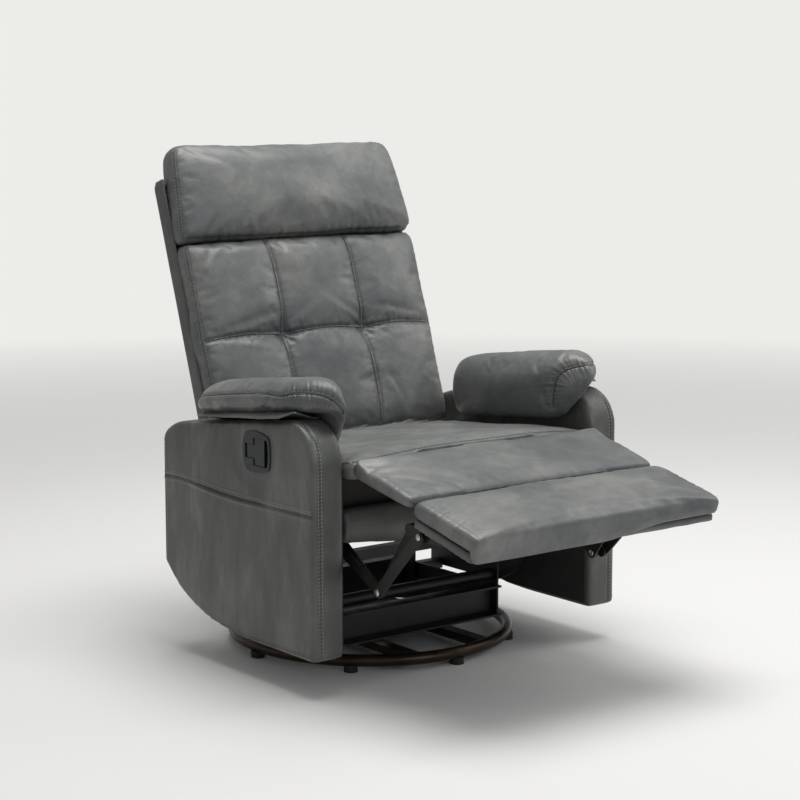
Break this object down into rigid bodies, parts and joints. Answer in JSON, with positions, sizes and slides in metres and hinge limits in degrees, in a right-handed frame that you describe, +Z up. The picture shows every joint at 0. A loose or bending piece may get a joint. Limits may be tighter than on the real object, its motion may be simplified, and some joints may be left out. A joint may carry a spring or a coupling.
{
  "type": "swivel glider recliner",
  "caption": "Leather swivel glider recliner with a folding leg rest, reclining tufted back, latch handle and round tube base.",
  "frame": {"origin": "middle of the bounding box at floor level; the swivel axis is 174 mm behind it", "axes": "+Z up, the chair faces -Y, +X is the sitter's left; the leg rest is out and the back partly leaned"},
  "size_m": [0.81, 1.0647, 1.024],
  "materials": {
    "leather": "smooth grey leather with a soft sheen",
    "dark_leather": "smooth dark grey leather",
    "dark_cloth": "black non-woven lining cloth",
    "wood": "plain sawn wood",
    "bronze_steel": "dark bronze powder coat",
    "bright_steel": "zinc-plated steel",
    "rubber": "black rubber",
    "plastic": "matte dark plastic",
    "black_steel": "black powder coat"
  },
  "bodies": {
    "base": {"base_ring": "bronze_steel", "base_rails": "bronze_steel", "base_feet": "rubber", "swivel_lower_plate": "black_steel", "swivel_bearing": "bright_steel", "king_bolt": "bright_steel"},
    "turntable": {"swivel_top_plate": "black_steel", "glide_front_beam": "black_steel", "glide_rear_beam": "black_steel", "glide_brackets": "black_steel", "glide_tie_tube": "black_steel"},
    "front_links": {"front_glide_links": "black_steel"},
    "rear_links": {"rear_glide_links": "black_steel"},
    "carriage": {"glide_rails": "black_steel", "mech_plate_left": "black_steel", "mech_plate_right": "black_steel", "mech_bolts": "bright_steel", "front_cross_rail": "black_steel", "rear_cross_rail": "black_steel", "seat_side_rail_left": "wood", "seat_side_rail_right": "wood", "seat_front_rail": "wood", "seat_rear_rail": "wood", "seat_springs": "bright_steel", "seat_cushion": "leather", "front_rail_panel": "dark_leather", "arm_left": "leather", "arm_right": "leather", "arm_lining_left": "dark_cloth", "arm_lining_right": "dark_cloth", "arm_pillow_left": "leather", "arm_pillow_right": "leather", "pillow_flap_left": "dark_leather", "pillow_flap_right": "dark_leather", "release_cup": "plastic", "handle_pin": "bright_steel", "release_cable": "rubber", "back_hinge_plates": "black_steel"},
    "back": {"back_posts": "black_steel", "back_uprights": "wood", "back_crossbars": "wood", "back_springs": "bright_steel", "back_cushion": "leather", "headrest": "leather", "back_shell": "dark_leather"},
    "middle": {"mid_panel": "leather"},
    "leg_rest": {"leg_board": "dark_leather", "leg_pad": "leather", "leg_brackets": "black_steel"},
    "inner_cranks": {"inner_crank_left": "black_steel", "inner_crank_right": "black_steel", "drive_tube": "black_steel"},
    "inner_rods": {"inner_rod_left": "black_steel", "inner_rod_right": "black_steel"},
    "outer_cranks": {"outer_crank_left": "black_steel", "outer_crank_right": "black_steel"},
    "outer_rods": {"outer_rod_left": "black_steel", "outer_rod_right": "black_steel"},
    "handle": {"release_handle": "plastic"},
    "pawl": {"release_pawl": "bright_steel"}
  },
  "joints": [
    {"name": "swivel", "type": "hinge", "parent": "base", "child": "turntable", "pos_m": [0, 0.174, 0.044], "axis": [0, 0, 1], "continuous": true},
    {"name": "glide", "type": "hinge", "parent": "turntable", "child": "front_links", "pos_m": [0, 0.052, 0.165], "axis": [1, 0, 0], "range_deg": [-18, 18]},
    {"name": "rear_glide", "type": "hinge", "parent": "turntable", "child": "rear_links", "pos_m": [0, 0.296, 0.165], "axis": [1, 0, 0], "range_deg": [-18.01, 18.01]},
    {"name": "carriage_level", "type": "hinge", "parent": "front_links", "child": "carriage", "pos_m": [0, 0.052, 0.08], "axis": [1, 0, 0], "range_deg": [-18.01, 18.01]},
    {"name": "recline", "type": "hinge", "parent": "carriage", "child": "back", "pos_m": [0, 0.292, 0.4], "axis": [-1, 0, 0], "range_deg": [0, 30]},
    {"name": "footrest_fold", "type": "hinge", "parent": "carriage", "child": "middle", "pos_m": [0, -0.176, 0.42], "axis": [1, 0, 0], "range_deg": [0, 75]},
    {"name": "leg_rest_turn", "type": "hinge", "parent": "middle", "child": "leg_rest", "pos_m": [0, -0.34799, 0.38407], "axis": [1, 0, 0], "range_deg": [0, 5.01]},
    {"name": "inner_crank_turn", "type": "hinge", "parent": "carriage", "child": "inner_cranks", "pos_m": [0, -0.08329, 0.29219], "axis": [1, 0, 0], "range_deg": [0, 73.47]},
    {"name": "inner_rod_turn", "type": "hinge", "parent": "inner_cranks", "child": "inner_rods", "pos_m": [0, -0.21502, 0.20733], "axis": [1, 0, 0], "range_deg": [-71.35, 0]},
    {"name": "outer_crank_turn", "type": "hinge", "parent": "carriage", "child": "outer_cranks", "pos_m": [0, -0.05566, 0.29854], "axis": [1, 0, 0], "range_deg": [0, 75.23]},
    {"name": "outer_rod_turn", "type": "hinge", "parent": "outer_cranks", "child": "outer_rods", "pos_m": [0, -0.22884, 0.21053], "axis": [1, 0, 0], "range_deg": [-73.81, 0]},
    {"name": "latch_pull", "type": "hinge", "parent": "carriage", "child": "handle", "pos_m": [-0.383, 0.0526, 0.453], "axis": [0, 0, -1], "range_deg": [0, 35], "stiffness_Nm_per_rad": 0.3},
    {"name": "pawl_turn", "type": "hinge", "parent": "carriage", "child": "pawl", "pos_m": [-0.283, 0.0344, 0.187], "axis": [1, 0, 0], "range_deg": [0, 20.01]}
  ],
  "couplings": [
    {"joint": "rear_glide", "follows": "glide", "ratio": 1},
    {"joint": "carriage_level", "follows": "glide", "ratio": -1},
    {"joint": "leg_rest_turn", "follows": "footrest_fold", "ratio": 0.066667},
    {"joint": "inner_crank_turn", "follows": "footrest_fold", "ratio": 0.97947},
    {"joint": "inner_rod_turn", "follows": "footrest_fold", "ratio": -0.9512},
    {"joint": "outer_crank_turn", "follows": "footrest_fold", "ratio": 1.0029},
    {"joint": "outer_rod_turn", "follows": "footrest_fold", "ratio": -0.984},
    {"joint": "pawl_turn", "follows": "latch_pull", "ratio": 0.57143}
  ]
}
